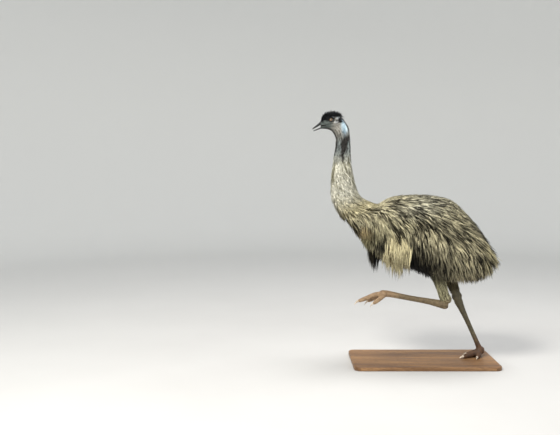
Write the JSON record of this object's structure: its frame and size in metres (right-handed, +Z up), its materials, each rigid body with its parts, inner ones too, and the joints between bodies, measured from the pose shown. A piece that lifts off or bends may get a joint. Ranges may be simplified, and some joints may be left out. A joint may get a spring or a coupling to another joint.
{
  "type": "emu",
  "caption": "Still life-size emu in a running stride, one foot down and one carried forward, with shaggy plumage, standing on a flat display base.",
  "frame": {"origin": "centre of the display base's underside, on the floor", "axes": "+Z up, -Y the way the head points, +X towards the bird's left side"},
  "size_m": [0.483, 1.132, 1.5139],
  "materials": {
    "face_skin": "bare bluish grey skin with thin black bristles",
    "neck_plume": "short hairlike plumes, pale grey-buff, blackish at the nape",
    "pale_plume": "long loose plumes, cream to buff with brown shadows",
    "body_plume": "long shaggy double-shafted plumes, grey-brown with pale streaks and dark tips",
    "dark_plume": "blackish brown hanging plumes",
    "leg_scales": "dull grey-brown scutes and small round scales",
    "claw_horn": "pale horn, slightly worn at the tip",
    "bill_horn": "dark horn, dull with a soft shine on the ridge",
    "eyeball": "wet amber-brown iris round a black pupil",
    "base_board": "oiled oak board with bevelled edges"
  },
  "bodies": {
    "root": {"bill_lower": "bill_horn", "bill_upper": "bill_horn", "breast": "pale_plume", "breast_tuft": "dark_plume", "claw_inner_left": "claw_horn", "claw_inner_right": "claw_horn", "claw_middle_left": "claw_horn", "claw_middle_right": "claw_horn", "claw_outer_left": "claw_horn", "claw_outer_right": "claw_horn", "eye_left": "eyeball", "eye_right": "eyeball", "foot_left": "leg_scales", "foot_right": "leg_scales", "head": "face_skin", "neck_lower": "neck_plume", "neck_upper": "neck_plume", "shank_left": "leg_scales", "shank_right": "leg_scales", "shin_left": "leg_scales", "shin_right": "leg_scales", "stand_base": "base_board", "tail": "body_plume", "thigh_left": "body_plume", "thigh_right": "body_plume", "toe_inner_left": "leg_scales", "toe_inner_right": "leg_scales", "toe_middle_left": "leg_scales", "toe_middle_right": "leg_scales", "toe_outer_left": "leg_scales", "toe_outer_right": "leg_scales", "trunk": "body_plume", "wing_left": "pale_plume", "wing_right": "pale_plume"}
  },
  "joints": []
}
